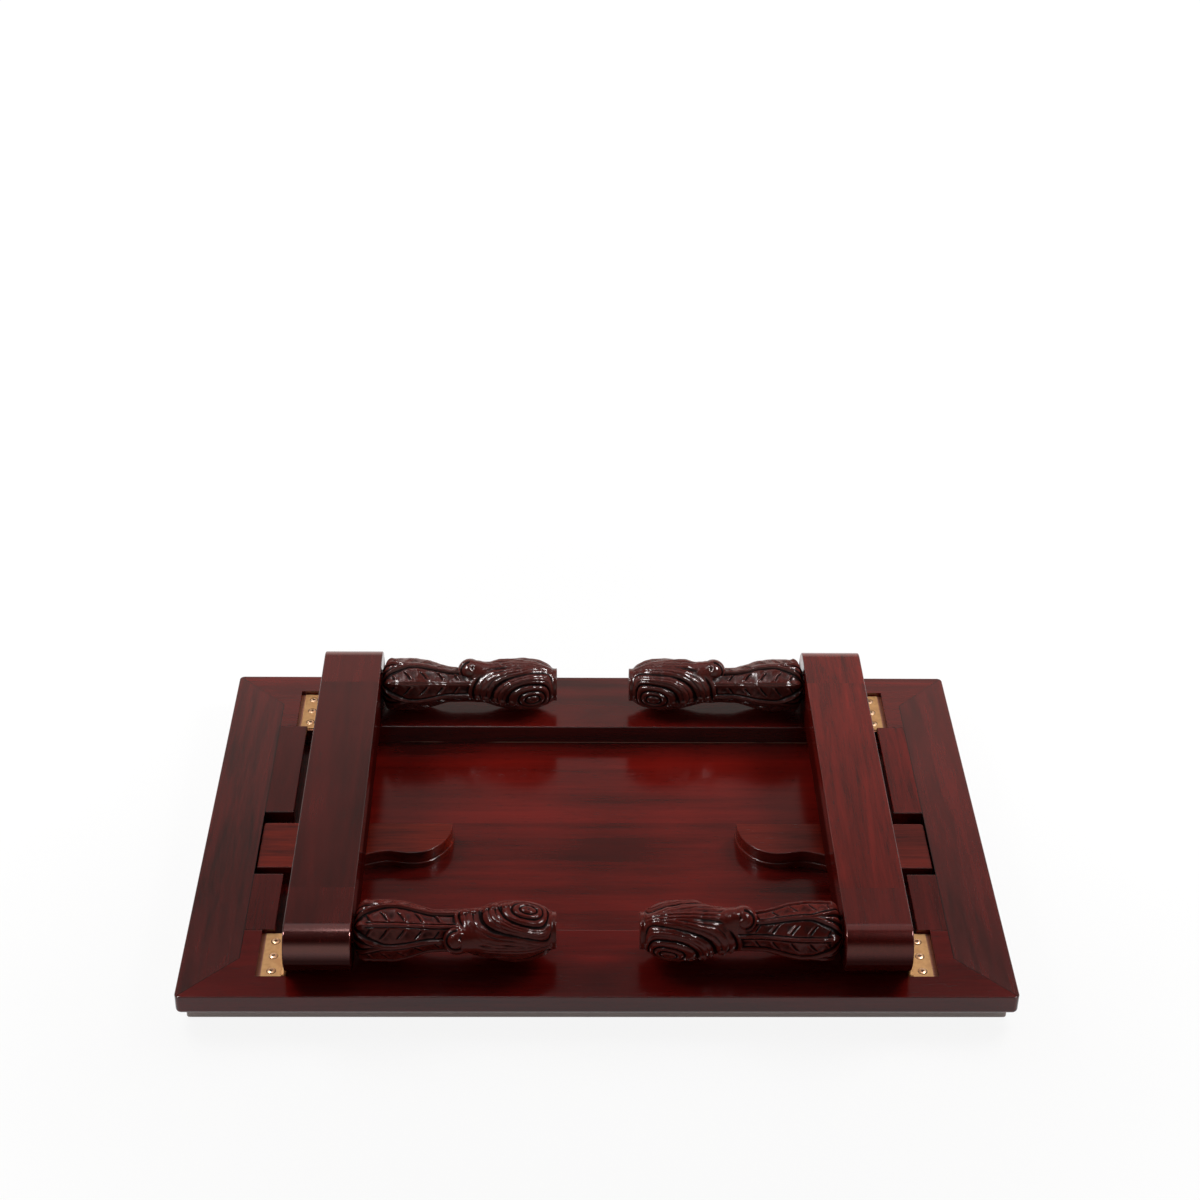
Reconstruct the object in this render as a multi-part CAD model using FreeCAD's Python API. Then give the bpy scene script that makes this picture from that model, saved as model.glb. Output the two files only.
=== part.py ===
import FreeCAD
import Part
import os
from math import cos, pi, sin

# A folding low table of stained wood, lying on its show face with both leg frames folded in.
# Millimetres. X runs along the table, Y across it with the front at -Y, Z up.
# The origin lies under the middle of the table, on the surface that it rests on.

# Top board and mitred underframe
table_length = 900.0
table_depth = 600.0
board_thickness = 14.0
board_inset = 9.5
board_corner_round = 3.0
board_edge_round = 2.0
frame_thickness = 24.0
long_rail_width = 109.0
side_rail_width = 62.0
corner_round = 6.0
edge_round = 5.0
arris = 1.2

# Slips hidden in the mitres
spline_width = 44.0
spline_reach = 14.0
spline_thickness = 4.0
spline_clearance = 0.1

# Bearing strips and the gap between them where the lock tongue lies
strip_width = 34.0
slot_width = 114.0
slot_offset = -38.0

# Butt hinges
hinge_inset = 112.0
hinge_length = 72.0
leaf_width = 25.0
leaf_thickness = 1.8
knuckle_radius = 3.0
knuckle_count = 5
knuckle_gap = 0.3
knuckle_leaf_clearance = 0.5
pin_radius = 1.5
pin_head_radius = 2.4
pin_head_thickness = 0.8
pin_press_clearance = 0.02
pin_running_clearance = 0.05

# Pockets for the hinges in the long rails
recess_depth = 6.0
recess_end_margin = 2.0
recess_outer_margin = 5.0
recess_inner_margin = 1.0
recess_floor_clearance = 0.3

# Screws of the hinge leaves
screw_from_pin = 14.0
screw_pitch = 24.0
screw_count = 3
screw_radius = 1.5
screw_length = 14.0
screw_point = 2.5
screw_head_radius = 4.2
screw_head_rise = 1.2
screw_sink = 1.6
screw_clearance = 0.1
cross_length = 4.4
cross_width = 1.0
cross_depth = 0.8

# Aprons, the cross rails that carry the legs
apron_width = 72.0
apron_height = 58.0
apron_gap = 6.0
apron_end_inset = 17.0
apron_arris = 1.5
block_length = 87.0
tenon_thickness = 12.0
tenon_height = 32.0
tenon_reach = 18.0
tenon_clearance = 0.1

# Carved legs: a round tenon, a tulip bulge, a waist, a scroll and a flat foot
leg_from_end = 50.0
leg_length = 218.0
leg_tenon_radius = 11.0
leg_tenon_length = 28.0
socket_clearance = 0.05
socket_end_gap = 2.0
shoulder_radius = 18.0
swell_radius = 27.7
swell_at = 6.5
bulge_radius = 33.0
bulge_at = 27.0
waist_radius = 23.0
waist_at = 92.0
scroll_radius = 32.0
scroll_from_foot = 42.0
foot_radius = 20.5
foot_thickness = 5.0
curl_radius = 12.5
curl_at = 109.0
curl_from_axis = 22.0
eye_radius = 7.0
eye_rise = 1.5
eye_from_foot = 30.0
curl_turn = 4.0
left_front_curl_turn = 94.0

# Lock tongues with a curved finger grip
tongue_length = 220.5
tongue_width = 82.0
tongue_thickness = 21.0
tongue_end_gap = 1.0
tongue_back_gap = 17.0
tongue_corner_round = 4.0
grip_depth = 55.6
grip_tip_land = 4.0
grip_belly_at = 46.0
grip_dip = 3.6
grip_dip_at = 74.0
grip_flare = 60.0
grip_flare_at = 101.5
grip_shoulder_at = 134.0
bead_height = 7.0
bead_rise = 2.0
bead_round = 1.5
lock_travel = 40.0

# Screws and washers that guide the tongues
guide_screw_radius = 1.75
guide_screw_depth = 9.0
guide_head_radius = 3.6
guide_head_height = 2.4
guide_washer_radius = 5.5
guide_washer_thickness = 1.2
guide_washer_clearance = 0.2
guide_slot_clearance = 0.3
guide_spacing = 28.0
guide_edge = 8.0

# Places that follow from the sizes above
underside = board_thickness + frame_thickness
side_inner = table_length / 2 - side_rail_width
long_inner = table_depth / 2 - long_rail_width
mitre_end = table_depth / 2 - side_rail_width
strip_inner = side_inner - strip_width
slot_front = slot_offset - slot_width / 2
slot_back = slot_offset + slot_width / 2
recess_floor = underside - recess_depth
pin_x = table_length / 2 - hinge_inset
pin_z = recess_floor + recess_floor_clearance + knuckle_radius
hinge_start = long_inner + recess_end_margin
hinge_middle = hinge_start + hinge_length / 2
apron_outer = pin_x - knuckle_radius
apron_inner = apron_outer - apron_width
apron_middle_x = (apron_outer + apron_inner) / 2
apron_bottom = underside + apron_gap
apron_top = apron_bottom + apron_height
apron_middle_z = (apron_bottom + apron_top) / 2
apron_end = table_depth / 2 - apron_end_inset
block_start = apron_end - block_length
leg_y = apron_end - leg_from_end
scroll_at = leg_length - scroll_from_foot
eye_at = leg_length - eye_from_foot
tongue_top = board_thickness + tongue_thickness
tongue_back = slot_back - tongue_back_gap
tongue_outer = side_inner - tongue_end_gap
tongue_tip = tongue_outer - tongue_length
guide_inner = apron_inner + guide_edge
guide_outer = guide_inner + guide_spacing
guide_y = tongue_back - grip_depth / 2

SIDES = {"left": -1, "right": 1}
ENDS = {"front": -1, "back": 1}
X_AXIS = FreeCAD.Vector(1, 0, 0)
Y_AXIS = FreeCAD.Vector(0, 1, 0)
Z_AXIS = FreeCAD.Vector(0, 0, 1)
TINY = 1e-6


def vec(x, y, z=0.0):
    return FreeCAD.Vector(x, y, z)


def block(x_ends, y_ends, z_ends):
    """A box between two values on each axis, given in either order."""
    low = vec(min(x_ends), min(y_ends), min(z_ends))
    size = vec(max(x_ends), max(y_ends), max(z_ends)) - low
    return Part.makeBox(size.x, size.y, size.z, low)


def prism(points, bottom, top):
    """A flat outline of straight runs, raised from bottom to top."""
    corners = [vec(x, y, bottom) for x, y in points]
    face = Part.Face(Part.makePolygon(corners + corners[:1]))
    return face.extrude(vec(0, 0, top - bottom))


def rod(radius, start, direction, length):
    """A round bar from a point, along a direction."""
    return Part.makeCylinder(radius, length, start, direction)


def lies_at(axis, place):
    """A test for edges on which one coordinate keeps this value."""
    def test(box):
        low = getattr(box, axis + "Min")
        high = getattr(box, axis + "Max")
        return abs(low - place) < TINY and abs(high - place) < TINY
    return test


def soften(solid, radius, *tests):
    """Round the edges whose bounding boxes meet every test."""
    edges = [edge for edge in solid.Edges if all(test(edge.BoundBox) for test in tests)]
    return solid.makeFillet(radius, edges)


def upright(box):
    """A test for edges that stand along Z."""
    return box.ZLength > box.XLength + box.YLength


def rounded_slab(length, depth, radius, bottom, top):
    """A rectangular slab with rounded upright corners, centred on the origin."""
    slab = block((-length / 2, length / 2), (-depth / 2, depth / 2), (bottom, top))
    return soften(slab, radius, upright)


def placed(shape, base, axis=Z_AXIS, angle=0.0):
    """A copy of a shape, turned about an axis through the origin and then moved."""
    turn = FreeCAD.Placement(base, FreeCAD.Rotation(axis, angle))
    return shape.transformed(turn.toMatrix(), True)


def save(name, *solids):
    """Write one piece, or a group of like pieces, to its own file."""
    shape = solids[0] if len(solids) == 1 else Part.makeCompound(list(solids))
    shape.exportStep(os.path.join("parts", name + ".step"))


def screw():
    """A raised countersunk screw with a cross recess, pointing down from its leaf's face at z = 0."""
    point = vec(0, 0, -screw_length - screw_point)
    shank = [vec(screw_radius, 0, -screw_length), vec(screw_radius, 0, -screw_sink)]
    rim = vec(screw_head_radius, 0, 0)
    crown = vec(0, 0, screw_head_rise)
    dome_radius = (screw_head_radius ** 2 + screw_head_rise ** 2) / (2 * screw_head_rise)
    half_way = screw_head_radius / 2
    half_rise = screw_head_rise - dome_radius + (dome_radius ** 2 - half_way ** 2) ** 0.5
    below = Part.makePolygon([point] + shank + [rim]).Edges
    dome = Part.Arc(rim, vec(half_way, 0, half_rise), crown).toShape()
    middle = Part.makeLine(crown, point)
    body = Part.Face(Part.Wire(below + [dome, middle])).revolve(vec(0, 0), Z_AXIS, 360)
    along = (-cross_length / 2, cross_length / 2)
    across = (-cross_width / 2, cross_width / 2)
    depth = (screw_head_rise - cross_depth, screw_head_rise)
    return body.cut(block(along, across, depth)).cut(block(across, along, depth))


def screw_hole():
    """The space that a leaf screw takes up in its leaf and in the wood under it."""
    shank = screw_radius + screw_clearance
    rim = screw_head_radius + screw_clearance
    hole = rod(shank, vec(0, 0), -Z_AXIS, screw_length + screw_point)
    sink = Part.makeCone(shank, rim, screw_sink, vec(0, 0, -screw_sink), Z_AXIS)
    head = rod(rim, vec(0, 0), Z_AXIS, screw_head_rise)
    return hole.fuse(sink).fuse(head)


def screw_ys(end):
    """The places of one leaf's screws across the table."""
    first = -(screw_count - 1) / 2
    return [end * hinge_middle + (first + i) * screw_pitch for i in range(screw_count)]


def on_fixed_leaf(shape, side, end):
    """Copies of a screw, or of its hole, on one fixed leaf."""
    x = side * (pin_x + screw_from_pin)
    z = recess_floor + leaf_thickness
    return [placed(shape, vec(x, y, z)) for y in screw_ys(end)]


def on_moving_leaf(shape, side, end):
    """Copies of a screw, or of its hole, on one moving leaf."""
    x = side * (apron_outer + leaf_thickness)
    z = pin_z + screw_from_pin
    return [placed(shape, vec(x, y, z), Y_AXIS, side * 90) for y in screw_ys(end)]


def hinge_span(end):
    """The ends of one hinge across the table."""
    middle = end * hinge_middle
    return middle - hinge_length / 2, middle + hinge_length / 2


def knuckle_spans(end, first):
    """The stretches along the pin of every second knuckle, from the first one given."""
    length = hinge_length / knuckle_count
    start = hinge_span(end)[0]
    trim = knuckle_gap / 2
    picked = range(first, knuckle_count, 2)
    return [(start + i * length + trim, start + (i + 1) * length - trim) for i in picked]


def with_knuckles(plate, side, end, spans, bore_radius):
    """A leaf's plate with its rolled knuckles added and bored for the pin."""
    for low, high in spans:
        plate = plate.fuse(rod(knuckle_radius, vec(side * pin_x, low, pin_z), Y_AXIS, high - low))
    low, high = hinge_span(end)
    return plate.cut(rod(bore_radius, vec(side * pin_x, low, pin_z), Y_AXIS, high - low))


def fixed_leaf(side, end):
    """The leaf that lies in the frame's pocket, with the outer and middle knuckles."""
    clear = pin_x + knuckle_radius + knuckle_leaf_clearance
    depth = (recess_floor, recess_floor + leaf_thickness)
    spans = knuckle_spans(end, 0)
    plate = block((side * clear, side * (pin_x + leaf_width)), hinge_span(end), depth)
    for span in spans:
        plate = plate.fuse(block((side * pin_x, side * clear), span, depth))
    leaf = with_knuckles(plate, side, end, spans, pin_radius + pin_press_clearance)
    return leaf.cut(on_fixed_leaf(screw_hole(), side, end)).removeSplitter()


def moving_leaf(side, end):
    """The leaf on the apron's outer face, with the knuckles between."""
    clear = pin_z + knuckle_radius + knuckle_leaf_clearance
    across = (side * apron_outer, side * (apron_outer + leaf_thickness))
    spans = knuckle_spans(end, 1)
    plate = block(across, hinge_span(end), (clear, pin_z + leaf_width))
    for span in spans:
        plate = plate.fuse(block(across, span, (pin_z, clear)))
    leaf = with_knuckles(plate, side, end, spans, pin_radius + pin_running_clearance)
    return leaf.cut(on_moving_leaf(screw_hole(), side, end)).removeSplitter()


def hinge_pin(side, end):
    """A pin with a flat head at each end."""
    low, high = hinge_span(end)
    start = vec(side * pin_x, low, pin_z)
    finish = vec(side * pin_x, high, pin_z)
    pin = rod(pin_radius, start, Y_AXIS, hinge_length)
    pin = pin.fuse(rod(pin_head_radius, start, -Y_AXIS, pin_head_thickness))
    return pin.fuse(rod(pin_head_radius, finish, Y_AXIS, pin_head_thickness)).removeSplitter()


def hinge_recess(side, end):
    """The pocket in a long rail that takes a hinge, open to the rail's inner edge."""
    outer = side * (pin_x + leaf_width + recess_outer_margin)
    inner = side * (apron_outer - recess_inner_margin)
    far = end * (hinge_start + hinge_length + recess_end_margin)
    return block((outer, inner), (end * long_inner, far), (recess_floor, underside))


def spline(side, end, clearance=0.0):
    """The slip across one mitre, or with a clearance the slot that it lies in."""
    half_width = spline_width / 2 + clearance
    reach = spline_reach + clearance
    half_height = spline_thickness / 2 + clearance
    slip = block((-half_width, half_width), (-reach, reach), (-half_height, half_height))
    middle_x = side * (table_length - side_rail_width) / 2
    middle_y = end * (table_depth - side_rail_width) / 2
    middle_z = board_thickness + frame_thickness / 2
    return placed(slip, vec(middle_x, middle_y, middle_z), Z_AXIS, side * end * 45)


def frame_ring():
    """The underframe's outer form before it is parted: rounded below, eased at its upper edge."""
    ring = rounded_slab(table_length, table_depth, corner_round, board_thickness, underside)
    ring = soften(ring, edge_round, lies_at("Z", board_thickness))
    return soften(ring, arris, lies_at("Z", underside))


def long_rail(ring, end):
    """The front or back rail: mitred corners, then square shoulders against the side rails."""
    half = table_length / 2
    outer = end * table_depth / 2
    shoulder = end * mitre_end
    inner = end * long_inner
    outline = [(-half, outer), (half, outer), (side_inner, shoulder), (side_inner, inner)]
    outline += [(-side_inner, inner), (-side_inner, shoulder)]
    rail = ring.common(prism(outline, board_thickness, underside))
    rail = soften(rail, arris, lies_at("Z", underside), lies_at("Y", inner))
    for side in SIDES.values():
        rail = rail.cut(hinge_recess(side, end))
        rail = rail.cut(on_fixed_leaf(screw_hole(), side, end))
        rail = rail.cut(spline(side, end, spline_clearance))
    return rail


def side_rail(ring, side):
    """The left or right rail, mitred at both ends."""
    half = table_depth / 2
    outer = side * table_length / 2
    inner = side * side_inner
    outline = [(outer, -half), (outer, half), (inner, mitre_end), (inner, -mitre_end)]
    rail = ring.common(prism(outline, board_thickness, underside))
    for end in ENDS.values():
        rail = rail.cut(spline(side, end, spline_clearance))
    return rail


def strip(side, end):
    """A bearing strip from the lock tongue's gap to the long rail."""
    inner = side * strip_inner
    near = slot_front if end < 0 else slot_back
    solid = block((inner, side * side_inner), (near, end * long_inner), (board_thickness, underside))
    solid = soften(solid, arris, lies_at("Z", underside), lies_at("X", inner))
    return soften(solid, arris, lies_at("Z", underside), lies_at("Y", near))


def top_board():
    """The show board, with pilot holes for the screws that guide the lock tongues."""
    length = table_length - 2 * board_inset
    depth = table_depth - 2 * board_inset
    board = rounded_slab(length, depth, board_corner_round, 0.0, board_thickness)
    board = soften(board, board_edge_round, lies_at("Z", 0.0))
    for side in SIDES.values():
        for x in (guide_inner, guide_outer):
            mouth = vec(side * x, guide_y, board_thickness)
            board = board.cut(rod(guide_screw_radius, mouth, -Z_AXIS, guide_screw_depth))
    return board


def tenon(side, end, clearance=0.0):
    """The loose tenon between an apron rail and an end block, or with a clearance its mortise."""
    x = side * apron_middle_x
    y = end * block_start
    half_x = tenon_thickness / 2 + clearance
    half_y = tenon_reach + clearance
    half_z = tenon_height / 2 + clearance
    heights = (apron_middle_z - half_z, apron_middle_z + half_z)
    return block((x - half_x, x + half_x), (y - half_y, y + half_y), heights)


def apron_rail(side):
    """The straight middle of an apron, with a mortise in each end."""
    across = (side * apron_inner, side * apron_outer)
    rail = block(across, (-block_start, block_start), (apron_bottom, apron_top))
    rail = soften(rail, apron_arris, lambda box: box.YLength > block_start)
    for end in ENDS.values():
        rail = rail.cut(tenon(side, end, tenon_clearance))
        rail = rail.cut(on_moving_leaf(screw_hole(), side, end))
    return rail


def end_block(side, end):
    """The end of an apron: a block with a full bullnose and a socket for its leg."""
    outer = side * apron_outer
    start = end * block_start
    nose_radius = apron_height / 2
    nose = end * (apron_end - nose_radius)
    high = vec(outer, nose, apron_top)
    low = vec(outer, nose, apron_bottom)
    square = [high, vec(outer, start, apron_top), vec(outer, start, apron_bottom), low]
    bullnose = Part.Arc(low, vec(outer, end * apron_end, apron_middle_z), high).toShape()
    outline = Part.Wire(Part.makePolygon(square).Edges + [bullnose])
    solid = Part.Face(outline).extrude(vec(-side * apron_width, 0, 0))
    for face_x in (outer, side * apron_inner):
        solid = soften(solid, apron_arris, lies_at("X", face_x), lambda box: not lies_at("Y", start)(box))
    mouth = vec(side * apron_inner, end * leg_y, apron_middle_z)
    socket_depth = leg_tenon_length + socket_end_gap
    solid = solid.cut(rod(leg_tenon_radius + socket_clearance, mouth, vec(side, 0), socket_depth))
    solid = solid.cut(tenon(side, end, tenon_clearance))
    return solid.cut(on_moving_leaf(screw_hole(), side, end))


def leg_section():
    """Half of the leg's turned outline as a face, from the tenon past the shoulder to the foot."""
    foot_start = leg_length - foot_thickness
    swells = [(0.0, shoulder_radius), (swell_at, swell_radius), (bulge_at, bulge_radius)]
    swells += [(waist_at, waist_radius), (scroll_at, scroll_radius), (foot_start, foot_radius)]
    curve = Part.BSplineCurve()
    curve.interpolate([vec(x, 0, radius) for x, radius in swells])
    foot = [(foot_start, foot_radius), (leg_length, foot_radius), (leg_length, 0.0)]
    tenon_end = [(-leg_tenon_length, 0.0), (-leg_tenon_length, leg_tenon_radius)]
    shoulder = [(0.0, leg_tenon_radius), (0.0, shoulder_radius)]
    straight = Part.makePolygon([vec(x, 0, radius) for x, radius in foot + tenon_end + shoulder])
    return Part.Face(Part.Wire([curve.toShape()] + straight.Edges))


def carved_leg(side, end, turn):
    """A leg with the curled leaf tip on one side and a scroll eye on each flank."""
    leg = leg_section().revolve(vec(0, 0), X_AXIS, 360)
    leg = leg.fuse(Part.makeSphere(curl_radius, vec(curl_at, 0, curl_from_axis)))
    reach = scroll_radius + eye_rise
    leg = leg.fuse(rod(eye_radius, vec(eye_at, -reach), Y_AXIS, 2 * reach)).removeSplitter()
    leg = placed(leg, vec(0, 0), X_AXIS, -side * turn)
    shoulder = vec(side * apron_inner, end * leg_y, apron_middle_z)
    return placed(leg, shoulder, Z_AXIS, 0 if side < 0 else 180)


def tongue_outline(side, grow):
    """The tongue's face on the board: straight back, rounded tip and waved finger grip."""
    def at(from_tip, from_back):
        return vec(side * (tongue_tip - grow + from_tip), tongue_back - from_back, board_thickness)

    belly_at = grip_belly_at + grow
    belly_depth = grip_depth + grow
    nose_depth = belly_depth - grip_tip_land
    eighth_turn = pi / 4
    land = at(0.0, grip_tip_land)
    cheek = at(belly_at * (1 - cos(eighth_turn)), grip_tip_land + nose_depth * sin(eighth_turn))
    belly = at(belly_at, belly_depth)
    dip = at(grip_dip_at + grow, belly_depth - grip_dip)
    flare = at(grip_flare_at + grow, grip_flare + grow)
    shoulder = at(grip_shoulder_at + grow, tongue_width)
    nose = Part.BSplineCurve()
    nose.interpolate([land, cheek, belly], InitialTangent=-Y_AXIS, FinalTangent=vec(side, 0))
    wave = Part.BSplineCurve()
    wave.interpolate([belly, dip, flare, shoulder], InitialTangent=vec(side, 0), FinalTangent=vec(side, -1))
    corners = [shoulder, at(tongue_length + grow, tongue_width), at(tongue_length + grow, 0.0)]
    straight = Part.makePolygon(corners + [at(0.0, 0.0), land])
    return Part.Face(Part.Wire([nose.toShape(), wave.toShape()] + straight.Edges))


def guide_slot(side):
    """The lengthwise slot through which the guide screws hold a tongue."""
    half = guide_screw_radius + guide_slot_clearance
    ends = (side * guide_inner, side * (guide_outer + lock_travel))
    slot = block(ends, (guide_y - half, guide_y + half), (board_thickness, tongue_top))
    for x in ends:
        slot = slot.fuse(rod(half, vec(x, guide_y, board_thickness), Z_AXIS, tongue_thickness))
    return slot


def lock_tongue(side):
    """A sliding tongue whose lower edge carries a bead along the finger grip."""
    plate = tongue_outline(side, 0.0).extrude(vec(0, 0, tongue_thickness))
    plate = soften(plate, tongue_corner_round, lies_at("X", side * tongue_outer), lies_at("Y", tongue_back))
    plate = soften(plate, arris, lies_at("Z", tongue_top))
    bead_top = board_thickness + bead_height
    bead = tongue_outline(side, bead_rise).extrude(vec(0, 0, bead_height))
    bead = soften(bead, bead_round, lies_at("Z", bead_top))
    grip = (side * (tongue_tip - bead_rise), side * (tongue_tip + grip_flare_at))
    bead = bead.common(block(grip, (tongue_back, tongue_back - tongue_width), (board_thickness, bead_top)))
    return plate.fuse(bead).cut(guide_slot(side)).removeSplitter()


def guide_screw(side, x):
    """A pan-head screw that holds a tongue to the board through its slot."""
    seat = tongue_top + guide_washer_clearance + guide_washer_thickness
    low = board_thickness - guide_screw_depth
    head = rod(guide_head_radius, vec(side * x, guide_y, seat), Z_AXIS, guide_head_height)
    head = soften(head, guide_head_height / 2, lies_at("Z", seat + guide_head_height))
    return head.fuse(rod(guide_screw_radius, vec(side * x, guide_y, low), Z_AXIS, seat - low))


def guide_washer(side, x):
    """The washer between a guide screw's head and the tongue."""
    start = vec(side * x, guide_y, tongue_top + guide_washer_clearance)
    disc = rod(guide_washer_radius, start, Z_AXIS, guide_washer_thickness)
    hole_radius = guide_screw_radius + pin_running_clearance
    return disc.cut(rod(hole_radius, start, Z_AXIS, guide_washer_thickness))


def build_top():
    """The top board, the underframe and everything fixed to it."""
    ring = frame_ring()
    corners = [(side, end) for side in SIDES.values() for end in ENDS.values()]
    guides = [(side, x) for side in SIDES.values() for x in (guide_inner, guide_outer)]
    screws = []
    save("top_board", top_board())
    for end_name, end in ENDS.items():
        save(end_name + "_rail", long_rail(ring, end))
    for side_name, side in SIDES.items():
        save(side_name + "_rail", side_rail(ring, side))
        for end_name, end in ENDS.items():
            corner = side_name + "_" + end_name
            save(corner + "_strip", strip(side, end))
            save(corner + "_fixed_leaf", fixed_leaf(side, end))
            save(corner + "_hinge_pin", hinge_pin(side, end))
            screws += on_fixed_leaf(screw(), side, end)
    save("fixed_leaf_screws", *screws)
    save("mitre_splines", *[spline(side, end) for side, end in corners])
    save("guide_screws", *[guide_screw(side, x) for side, x in guides])
    save("guide_washers", *[guide_washer(side, x) for side, x in guides])


def build_leg_frame(side_name, side):
    """One apron with its two legs and its halves of the hinges."""
    screws = []
    save(side_name + "_apron_rail", apron_rail(side))
    save(side_name + "_loose_tenons", *[tenon(side, end) for end in ENDS.values()])
    for end_name, end in ENDS.items():
        corner = side_name + "_" + end_name
        turn = left_front_curl_turn if corner == "left_front" else curl_turn
        save(corner + "_block", end_block(side, end))
        save(corner + "_leg", carved_leg(side, end, turn))
        save(corner + "_moving_leaf", moving_leaf(side, end))
        screws += on_moving_leaf(screw(), side, end)
    save(side_name + "_leaf_screws", *screws)


os.makedirs("parts", exist_ok=True)
build_top()
for name, sign in SIDES.items():
    build_leg_frame(name, sign)
    save(name + "_lock_tongue", lock_tongue(sign))
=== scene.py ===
"""Looks of a folding low table of dark red lacquered wood, folded and lying on its show face."""

import logging
from dataclasses import dataclass, field
from enum import Enum, Flag, auto
from math import cos, pi, radians, sin
from typing import Any, Sequence

import bpy
import numpy as np
from mathutils import Matrix, Vector

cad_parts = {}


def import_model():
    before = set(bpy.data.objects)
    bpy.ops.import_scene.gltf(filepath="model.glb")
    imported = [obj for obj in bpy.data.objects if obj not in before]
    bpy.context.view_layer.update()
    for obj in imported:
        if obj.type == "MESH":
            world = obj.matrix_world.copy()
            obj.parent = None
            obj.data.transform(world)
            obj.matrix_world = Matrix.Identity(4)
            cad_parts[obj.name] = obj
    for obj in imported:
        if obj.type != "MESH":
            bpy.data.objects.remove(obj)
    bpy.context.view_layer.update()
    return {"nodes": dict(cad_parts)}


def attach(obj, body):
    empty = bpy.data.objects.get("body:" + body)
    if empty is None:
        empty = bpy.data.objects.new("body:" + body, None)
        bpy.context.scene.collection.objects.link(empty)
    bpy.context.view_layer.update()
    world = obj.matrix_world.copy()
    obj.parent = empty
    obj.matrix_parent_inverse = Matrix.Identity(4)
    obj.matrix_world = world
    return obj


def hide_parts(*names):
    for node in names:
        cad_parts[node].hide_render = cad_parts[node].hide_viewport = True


logging.basicConfig(level=logging.INFO, format="%(levelname)s %(message)s")
log = logging.getLogger("folding_table")

MM = 0.001
Array = np.ndarray
Colour = tuple[float, float, float]
Point = tuple[float, float, float]
Nodes = dict[str, bpy.types.Object]
BLACK: Colour = (0.0, 0.0, 0.0)
WHITE: Colour = (1.0, 1.0, 1.0)


class Named(Enum):
    """A choice whose name is part of the names of pieces."""

    @property
    def word(self) -> str:
        """The choice as the names of pieces spell it."""
        return self.name.lower()


class Side(Named):
    """The two ends of the table that carry a leg frame, by the sign of their x."""

    LEFT = -1
    RIGHT = 1


class End(Named):
    """The two long sides of the table, by the sign of their y."""

    FRONT = -1
    BACK = 1


class Grain(Enum):
    """The way that the wood's fibres run, as how much the pattern is squeezed on each axis."""

    ALONG_X = (1.0, 16.0, 16.0)
    ALONG_Y = (16.0, 1.0, 16.0)


class Mark(Flag):
    """What a wooden piece shows besides its grain."""

    PLAIN = 0
    POCKET = auto()  # the bare floors of the hinge pockets
    JOINT = auto()  # the dark lines of the mitres and butts
    PLANK = auto()  # the tones of the glued planks, painted shade towards the back rail, and the board's rim painted pale as a highlight
    FOOT_LINE = auto()  # the back rail's middle, lighter along its inner edge and with painted shade under the back legs, and the worn line along its foot
    PAINTED_SHADE_FOOT = auto()  # the lower part of an apron and its blocks, painted dark and without gloss as shade


class Wire:
    """An output of a node tree that takes part in Python arithmetic."""

    def __init__(self, tree: "Tree", socket: bpy.types.NodeSocket) -> None:
        """Keep the tree and the socket together."""
        self.tree = tree
        self.socket = socket

    def math(self, operation: str, *others: "Wire | float", first: bool = True) -> "Wire":
        """Add a Math node.

        Args:
            operation: the node's operation.
            others: the other operands.
            first: whether this value is the first operand.

        Returns:
            The node's result.
        """
        operands = [self, *others] if first else [*others, self]
        return self.tree.node("ShaderNodeMath", {"operation": operation}, dict(enumerate(operands)))

    def __add__(self, other: "Wire | float") -> "Wire":
        """This value plus another."""
        return self.math("ADD", other)

    def __sub__(self, other: "Wire | float") -> "Wire":
        """This value minus another."""
        return self.math("SUBTRACT", other)

    def __rsub__(self, other: float) -> "Wire":
        """A number minus this value."""
        return self.math("SUBTRACT", other, first=False)

    def __mul__(self, other: "Wire | float") -> "Wire":
        """This value times another."""
        return self.math("MULTIPLY", other)

    def __abs__(self) -> "Wire":
        """This value without its sign."""
        return self.math("ABSOLUTE")

    def __gt__(self, other: "Wire | float") -> "Wire":
        """One where this value is the greater, else nought."""
        return self.math("GREATER_THAN", other)

    def __lt__(self, other: "Wire | float") -> "Wire":
        """One where this value is the lesser, else nought."""
        return self.math("LESS_THAN", other)

    __radd__ = __add__
    __rmul__ = __mul__

    def either(self, other: "Wire") -> "Wire":
        """The greater of this value and another, which joins two masks."""
        return self.math("MAXIMUM", other)

    def sway(self) -> "Wire":
        """A noise's departure from its middle."""
        return self - 0.5

    def ramp(self, low: float, high: float) -> "Wire":
        """Nought at low, one at high, with soft ends between."""
        inputs = {"Value": self, "From Min": low, "From Max": high}
        return self.tree.node("ShaderNodeMapRange", {"interpolation_type": "SMOOTHSTEP"}, inputs)


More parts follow.
